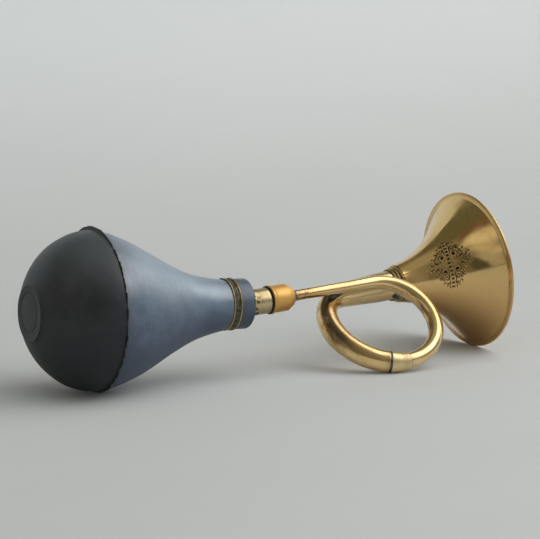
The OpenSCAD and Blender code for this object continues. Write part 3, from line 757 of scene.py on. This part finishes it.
# solder of the loop joint: the ring in the gap and a hairline at the ferrule's narrow end
parts_v, parts_f = [], []
for q0, q1, ro, ri in ((201.25, 203.2, 6.62, 6.12), (179.3, 180.05, 5.12, 4.7)):
    q = np.linspace(q0, q1, 7)
    v, f, at = sweep(q, np.full(7, ro), np.full(7, ri), 64, 0.0, 0.10, 7.0)
    off = sum(len(x) for x in parts_v)
    parts_v.append(v)
    parts_f += [[i + off for i in face] for face in f]
make("loop_solder_skin", np.vstack(parts_v), parts_f, "horn", M_SOLDER, None, 50, ["loop_solder"])


def blob(c, axis, length, width, seed, thin=1.0, n=20, m=28):
    """A smeared drop of solder along an axis."""
    axis = axis / np.linalg.norm(axis)
    s = np.cross(axis, [0, 0.3, 1.0])
    s /= np.linalg.norm(s)
    t = np.cross(axis, s)
    vs, fs = [c - axis * length], []
    for i in range(1, n):
        u = math.pi * i / n
        for k in range(m):
            w = 2 * math.pi * k / m
            d = axis * (-math.cos(u) * length) + (s * math.cos(w) * thin + t * math.sin(w)) * math.sin(u) ** 0.8 * width
            e = noise.noise(Vector(tuple(d * 0.55 + seed))) + 0.6 * noise.noise(Vector(tuple(d * 1.3 + seed)))
            vs.append(c + d * (1 + 0.2 * e))
    vs.append(c + axis * length)
    for k in range(m):
        fs.append([0, 1 + (k + 1) % m, 1 + k])
        fs.append([len(vs) - 1, 1 + (n - 2) * m + k, 1 + (n - 2) * m + (k + 1) % m])
        for i in range(n - 2):
            a, b = 1 + i * m + k, 1 + i * m + (k + 1) % m
            fs.append([a, b, b + m, a + m])
    return horn(np.array(vs)), fs


def mid_gap(qa, qb):
    pa, pb = path(np.array([qa]))[0], path(np.array([qb]))[0]
    g = np.linalg.norm(pb - pa)
    ra, rb = catmull(IK, np.array([qa]))[0], catmull(OK_, np.array([qb]))[0]
    return pa + (pb - pa) * (ra + (g - ra - rb) / 2) / g


bv, bf = [], []
for c, ax, ln, wd, sd, th in ((mid_gap(-13, 352), (1, 0.02, 0.05), 5.2, 2.0, 1.0, 1.0), (mid_gap(18, 383), (1, 0.02, 0.05), 5.5, 1.9, 4.0, 1.0),
                              (np.array([51.6, 1.0, -4.3]), (1, 0.1, 0.10), 5.6, 1.8, 7.0, 1.0),
                              (np.array([99.4, 4.6, -11.7]), (1, 0.0, -0.25), 3.9, 2.8, 11.0, 0.7)):
    v, f = blob(c, np.array(ax, float), ln, wd, sd, th)
    off = sum(len(x) for x in bv)
    bv.append(v)
    bf += [[i + off for i in face] for face in f]
make("crossing_solder_skin", np.vstack(bv), bf, "horn", M_SOLDER, None, 60, ["crossing_solder"])

# ----------------------------------------------------------------------- bell
i_r = 9.46
prof = [(97.4, i_r), (97.4, 9.8, 0.1), (98.0, 10.3, 0.3), (98.7, 10.5, 0.3), (99.3, 10.2, 0.2), (99.6, 9.85, 0.08), (99.9, 10.3, 0.2),
        (100.4, 10.9, 0.3), (101.0, 11.1, 0.3), (101.5, 10.8, 0.2), (101.7, 10.35, 0.08), (101.95, 10.9, 0.2), (102.4, 11.6, 0.3), (102.9, 11.9, 0.3),
        (103.35, 11.8, 0.3), (103.5, 11.2, 0.1), (103.5, 11.35, 0.02), (106.5, 11.3, 0.1), (106.5, i_r, 0.1)]


def ridge_disp(x, r, a):
    p = np.stack([x, r * np.sin(a), r * np.cos(a)], -1)
    return x, r + np.where(r > 9.8, 0.06 * fnoise(p, 0.3, 12.0, 2), 0), 0.0, 0.0


v, f, at = revolve(densify(fillet(prof, 0.12, 5), 0.35), on_bell, 144, disp=ridge_disp)
gx = at["ax"]
at["groove"] = np.clip(np.exp(-((gx - 99.6) / 0.34) ** 2) + np.exp(-((gx - 101.7) / 0.36) ** 2) + np.exp(-((gx - 97.4) / 0.3) ** 2) + np.exp(-((gx - 103.5) / 0.25) ** 2), 0, 1) * (at["rad"] > 9.6)
make("bell_ferrule_skin", v, f, "horn", M_RIDGE, at, 40, ["bell_ferrule"])

F0, X1, RIM, BEAD, TH = 103.6, 158.8, 49.55, 1.02, 12.1


def flare(x):
    u = np.clip((x - F0) / (X1 - F0), 0, 1)
    return TH + (RIM - 0.5 - TH) * (0.25 * u + 0.75 * u**2.2)


# ornament: strokes in a flat frame (a: round the bell, b: along the generator), mm
def ornament():
    lines = []  # (points, half width)

    def add(pts, w):
        lines.append((np.array(pts, float) * 1.09, w * 1.13))

    def leaf(x, y, deg, ln, wd, sa, sb):
        """A pointed leaf: one stroke along its axis that swells in the middle."""
        d, n = (math.cos(math.radians(deg)), math.sin(math.radians(deg))), (-math.sin(math.radians(deg)), math.cos(math.radians(deg)))
        t = np.linspace(0.12, 0.88, 5)
        for k in range(4):
            a0, a1 = t[k], t[k + 1]
            add([(sa * (x + d[0] * ln * q_), sb * (y + d[1] * ln * q_)) for q_ in (a0, a1)], wd * 0.8 * math.sin(math.pi * (a0 + a1) / 2) ** 0.7)

    def curl(x, y, r, a0, turns, hand, sa, sb, w=0.24):
        t = np.linspace(0, 1, 34)
        ang = math.radians(a0) + hand * turns * ANG * t
        rr = r * (0.25 + 0.75 * t)
        add(np.stack([sa * (x + rr * np.cos(ang)), sb * (y + rr * np.sin(ang))], -1), w)

    for sa in (-1, 1):
        for sb in (-1, 1):
            add([(sa * 4.2, sb * 3.9), (sa * 4.21, sb * 3.9)], 0.78)
            curl(4.2, 3.9, 2.5, 190, 0.92, 1, sa, sb, 0.23)
            curl(8.3, 3.7, 1.5, 120, 1.15, -1, sa, sb, 0.21)
            curl(3.3, 8.1, 1.5, -60, 1.15, 1, sa, sb, 0.21)
            curl(7.0, 6.9, 1.2, 30, 1.05, 1, sa, sb, 0.19)
            curl(1.7, 11.0, 0.95, 0, 1.0, -1, sa, sb, 0.19)
            curl(11.3, 2.8, 0.95, 90, 1.0, 1, sa, sb, 0.19)
            for x, y, dg, ln, wd in ((6.4, 5.4, 45, 1.7, 0.4), (9.9, 4.8, 30, 1.5, 0.34), (5.0, 9.0, 60, 1.6, 0.34), (9.9, 1.6, 5, 2.0, 0.32), (1.2, 8.9, 95, 1.7, 0.32),
                                     (1.9, 6.4, 110, 1.6, 0.34), (6.6, 2.0, -5, 1.9, 0.32), (12.6, 2.0, 0, 1.5, 0.3), (2.4, 12.2, 80, 1.5, 0.3)):
                leaf(x, y, dg, ln, wd, sa, sb)
            for x, y in ((5.3, 7.2), (10.6, 4.2), (0.9, 6.9), (8.8, 5.9), (12.9, 3.5), (3.4, 12.0), (6.7, 3.0), (0.6, 13.4), (14.4, 1.0)):
                add([(sa * x, sb * y), (sa * x + 0.01, sb * y)], 0.27)
            for t0, t1 in (((5.9, 1.9), (9.4, 2.3)), ((1.4, 5.2), (2.0, 9.6)), ((5.9, 6.6), (4.7, 8.6)), ((8.3, 5.4), (7.4, 5.9))):
                add([(sa * t0[0], sb * t0[1]), (sa * t1[0], sb * t1[1])], 0.15)
    # a border of plain lozenges and beads between two rules runs through the middle
    for k in range(-6, 7):
        c = k * 2.24
        for w in (0.5, 0.2):
            add([(c - w, 0), (c, 1.9 * w), (c + w, 0), (c, -1.9 * w), (c - w, 0)], 0.14)
        if k < 6:
            for sb in (-0.72, 0.72):
                add([(c + 1.15, sb), (c + 1.16, sb)], 0.17)
    for sb in (-1, 1):
        t = np.linspace(-14.9, 14.9, 60)
        add(np.stack([t, sb * (1.75 + 0.1 * np.cos(t * 1.37))], -1), 0.11)
    return lines


DA, DB, RA = math.radians(60), 131.8, 0.0
gx = np.linspace(F0, X1, 600)
gl = np.concatenate([[0], np.cumsum(np.hypot(np.diff(gx), np.diff(flare(gx))))])
l0 = np.interp(DB, gx, gl)
R0 = float(flare(np.array([DB]))[0])
dense_l = np.arange(l0 - 15.6, l0 + 15.7, 0.15)
ls = np.concatenate([np.linspace(0, dense_l[0], 24)[:-1], dense_l, np.linspace(dense_l[-1], gl[-1], 40)[1:]])
xo = np.interp(ls, gl, gx)
dense_a = np.arange(DA - 0.76, DA + 0.76, 0.0064)
rest = np.linspace(dense_a[-1], dense_a[0] + ANG, 180)[1:-1]
angs = np.concatenate([dense_a, rest])
slope = (flare(xo + 0.01) - flare(xo - 0.01)) / 0.02
slope[0] = slope[1]
outer = np.stack([xo, flare(xo)], -1)
# rolled bead: from the sheet's edge round the wire and back inside, with a small flat in front
ba = np.linspace(math.radians(170), math.radians(-150), 34)  # 180 points back along the bell, 90 outwards
bead = np.stack([X1 + 0.1 + BEAD * np.cos(ba), 50.8 - BEAD + BEAD * np.sin(ba)], -1)
bead[:, 0] = np.minimum(bead[:, 0], X1 + 1.05)
xin = np.linspace(X1 - 1.3, F0, 90)
sl = (flare(xin + 0.01) - flare(xin - 0.01)) / 0.02
inn = np.stack([xin, flare(xin) - 0.75 * np.sqrt(1 + np.minimum(sl, 3) ** 2) * 0.9], -1)
outer = outer[outer[:, 0] < X1 - 0.95]
prof = np.vstack([outer, bead, inn])
n_out = len(outer)
LINES = ornament()


def bell_disp(x, r, a):
    da = (a - DA + math.pi) % ANG - math.pi
    lo_ = np.interp(x, gx, gl)
    u, w = da * (R0 + 0.55 * (r - R0)), lo_ - l0
    sel = (np.abs(u) < 16.5) & (np.abs(w) < 15.8) & (np.arange(len(x)) < n_out)[:, None]
    pu, pw = u[sel] / 1.06, w[sel]
    pw = pw + 0.19 * np.minimum(pu, 0) - 0.03 * np.maximum(pu, 0)
    best = np.zeros(len(pu))
    for pts, hw in LINES:
        box = (pu > pts[:, 0].min() - 1) & (pu < pts[:, 0].max() + 1) & (pw > pts[:, 1].min() - 1) & (pw < pts[:, 1].max() + 1)
        if not box.any():
            continue
        qx, qy = pu[box], pw[box]
        d = np.full(len(qx), 9.0)
        for p0, p1 in zip(pts[:-1], pts[1:]):
            e = p1 - p0
            tt = np.clip(((qx - p0[0]) * e[0] + (qy - p0[1]) * e[1]) / max(e @ e, 1e-9), 0, 1)
            d = np.minimum(d, np.hypot(qx - p0[0] - tt * e[0], qy - p0[1] - tt * e[1]))
        best[box] = np.maximum(best[box], np.clip((hw + 0.13 - d) / 0.18, 0, 1))
    eng = np.zeros(x.shape)
    eng[sel] = best
    bell_disp.eng = eng
    p = np.stack([x, r * np.sin(a), r * np.cos(a)], -1)
    coarse = 0.10 * fnoise(p[::6, ::6], 0.035, 21.0, 2)
    ii = np.linspace(0, coarse.shape[0] - 1, x.shape[0])
    jj = np.linspace(0, coarse.shape[1] - 1, x.shape[1])
    i0, j0 = np.floor(ii).astype(int), np.floor(jj).astype(int)
    i1_, j1_ = np.minimum(i0 + 1, coarse.shape[0] - 1), np.minimum(j0 + 1, coarse.shape[1] - 1)
    fi, fj = (ii - i0)[:, None], (jj - j0)[None, :]
    lump = ((coarse[np.ix_(i0, j0)] * (1 - fi) + coarse[np.ix_(i1_, j0)] * fi) * (1 - fj)
            + (coarse[np.ix_(i0, j1_)] * (1 - fi) + coarse[np.ix_(i1_, j1_)] * fi) * fj)
    return x + 0.09 * eng, r - 0.11 * eng + lump * 0.0, 0.0, 0.0


v, f, at = revolve(prof, on_bell, angs=angs, disp=bell_disp)
at["engrave"] = bell_disp.eng.ravel()
make("bell_skin", v, f, "horn", M_BELL, at, 60, ["bell"])

# --------------------------------------------------- CAD nodes that stay shown
for n, mat in (("bell_rim_wire", M_INNER), ("reed_plug", M_INNER), ("reed_shallot", M_INNER), ("reed_clip", M_INNER),
               ("reed_tongue", M_INNER), ("reed_washer", M_LEATHER)):
    NODES[n].data.materials.clear()
    NODES[n].data.materials.append(mat)

# ---------------------------------------------------------------------- studio
# floor that sweeps up into a wall
fl = []
prof = [(-3.0, 0.0), (0.30, 0.0)] + [(0.30 + 0.30 * math.sin(t), 0.30 * (1 - math.cos(t))) for t in np.linspace(0.1, math.pi / 2, 14)] + [(0.60, 0.52)]
for y, z in prof:
    fl += [(-4.0, y, z), (4.0, y, z)]
me = bpy.data.meshes.new("studio_floor")
me.from_pydata(fl, [], [[2 * i, 2 * i + 1, 2 * i + 3, 2 * i + 2] for i in range(len(prof) - 1)])
me.shade_smooth()
floor = bpy.data.objects.new("studio_floor", me)
bpy.context.scene.collection.objects.link(floor)
M_FLOOR = Mat("floor_pale")
grain = M_FLOOR.noise(2.2, 5, 0.6, M_FLOOR.scaled((0.6, 2.4, 1.0)))
geo = M_FLOOR.t.nodes.new("ShaderNodeSeparateXYZ")
M_FLOOR.put(geo.inputs[0], M_FLOOR.co)
lift = M_FLOOR.range(geo.outputs[2], 0.01, 0.22)
M_FLOOR.set(Base_Color=M_FLOOR.mix(grain, (0.575, 0.585, 0.59), (0.635, 0.645, 0.65)), Roughness=0.75, Specular_IOR_Level=0.3,
            Emission_Color=M_FLOOR.mix(M_FLOOR.range(geo.outputs[0], -0.6, 0.6), (0.80, 0.96, 1.0), (0.93, 0.99, 1.0)),
            Emission_Strength=M_FLOOR.math("MULTIPLY", lift, 0.15))
gm = M_FLOOR.t.nodes.new("ShaderNodeNewGeometry")
see = M_FLOOR.t.nodes.new("ShaderNodeBsdfTransparent")
mixer = M_FLOOR.t.nodes.new("ShaderNodeMixShader")
M_FLOOR.put(mixer.inputs[0], gm.outputs["Backfacing"])
M_FLOOR.t.links.new(M_FLOOR.b.outputs[0], mixer.inputs[1])
M_FLOOR.t.links.new(see.outputs[0], mixer.inputs[2])
M_FLOOR.t.links.new(mixer.outputs[0], M_FLOOR.out.inputs[0])
me.materials.append(M_FLOOR.m)


def area(name, loc, aim, size, power, color=(1, 1, 1)):
    li = bpy.data.lights.new(name, "AREA")
    li.shape, li.size, li.size_y, li.energy, li.color = "RECTANGLE", size[0], size[1], power, color
    o = bpy.data.objects.new(name, li)
    bpy.context.scene.collection.objects.link(o)
    o.location = loc
    o.rotation_mode = "QUATERNION"
    o.rotation_quaternion = (Vector(aim) - Vector(loc)).to_track_quat("-Z", "Y")
    return o


area("key_window", (0.81, -0.26, 1.02), (0.0, 0.0, 0.04), (1.1, 1.1), 5.8, (1.0, 0.985, 0.955))
area("window_front", (0.80, -0.92, 0.98), (0.0, 0.0, 0.04), (0.9, 0.9), 2.8, (0.96, 0.99, 1.0))
for n_, loc_, sz_, pw_ in (("soft_front", (0.45, -1.2, 0.95), 1.4, 4.2), ("soft_top", (-0.15, -0.3, 1.35), 1.8, 4.2), ("soft_low", (-1.0, -0.75, 0.28), 0.8, 1.8)):
    area(n_, loc_, (0.0, 0.0, 0.04), (sz_, sz_), pw_, (0.93, 0.985, 1.0)).visible_glossy = False

# room seen only in reflections: dark walls, a window to the left, a pale ceiling
w = bpy.data.worlds.new("studio")
bpy.context.scene.world = w
w.use_nodes = True
W = object.__new__(Mat)
W.t = w.node_tree
W.t.nodes.clear()
W.co = W.t.nodes.new("ShaderNodeTexCoord").outputs["Generated"]
sep = W.t.nodes.new("ShaderNodeSeparateXYZ")
W.put(sep.inputs[0], W.co)
c120, s120 = math.cos(math.radians(120)), math.sin(math.radians(120))
wx = W.math("SUBTRACT", W.math("MULTIPLY", sep.outputs[0], c120), W.math("MULTIPLY", sep.outputs[1], s120))
wy = W.math("ADD", W.math("MULTIPLY", sep.outputs[0], s120), W.math("MULTIPLY", sep.outputs[1], c120))
wob_n = W.noise(2.4, 3, 0.6)
az = W.math("MULTIPLY", W.math("ARCTAN2", wy, wx), 180 / math.pi)
az = W.math("MULTIPLY_ADD", W.math("SUBTRACT", wob_n, 0.5), 14.0, az)
el = W.math("MULTIPLY", W.math("ARCSINE", sep.outputs[2]), 180 / math.pi)
el = W.math("MULTIPLY_ADD", W.math("SUBTRACT", W.noise(3.1, 3, 0.6), 0.5), 10.0, el)


def box(a0, a1, e0, e1, sa=2.5, se=2.5):
    b = W.math("MULTIPLY", W.range(az, a0 - sa, a0 + sa), W.range(az, a1 + sa, a1 - sa))
    return W.math("MULTIPLY", b, W.math("MULTIPLY", W.range(el, e0 - se, e0 + se), W.range(el, e1 + se, e1 - se)))


sky = (0.20, 0.19, 0.155)
for f_, colr in ((W.range(el, 58, 74), (0.34, 0.33, 0.29)),
                 (box(20, 160, -30, 60, 8, 8), (0.27, 0.265, 0.25)),
                 (box(110, 168, 4, 33, 4, 4), (1.05, 1.03, 0.93)),
                 (box(-155, -78, 20, 60), (0.125, 0.13, 0.085)),
                 (box(-80, -63, 22, 52), (0.16, 0.11, 0.075)),
                 (box(-63, -44, 22, 46), (0.66, 0.63, 0.55)),
                 (box(-45, -36, 9, 34), (0.52, 0.50, 0.42)),
                 (box(-39, -30, -14, 20), (0.40, 0.39, 0.34)),
                 (box(-31, -22, -14, 38, 1.5, 3), (0.075, 0.075, 0.06)),
                 (box(-21, 16, -14, 27), (0.16, 0.145, 0.115))):
    sky = W.mix(f_, sky, colr)
bg, wo = W.t.nodes.new("ShaderNodeBackground"), W.t.nodes.new("ShaderNodeOutputWorld")
W.put(bg.inputs[0], sky)
bg.inputs[1].default_value = 1.0
W.t.links.new(bg.outputs[0], wo.inputs[0])

cam = bpy.data.cameras.new("camera")
co = bpy.data.objects.new("camera", cam)
bpy.context.scene.collection.objects.link(co)
right, up, view = (np.array(a) for a in ((0.8670668, -0.4981919, -0.0002325), (0.0858866, 0.1490196, 0.9850973), (0.4907329, 0.8541651, -0.1719980)))
loc = np.array([-646.95 + SHIFT[0], -1143.94 + SHIFT[1], 266.06]) * 0.001
co.matrix_world = Matrix(((right[0], up[0], -view[0], loc[0]), (right[1], up[1], -view[1], loc[1]), (right[2], up[2], -view[2], loc[2]), (0, 0, 0, 1)))
cam.sensor_fit, cam.sensor_width = "HORIZONTAL", 36.0
cam.lens, cam.shift_x, cam.shift_y = 144.98, -0.01598, 0.08256
cam.clip_start, cam.clip_end = 0.05, 20.0
bpy.context.scene.camera = co
bpy.context.scene.view_settings.view_transform = "Standard"
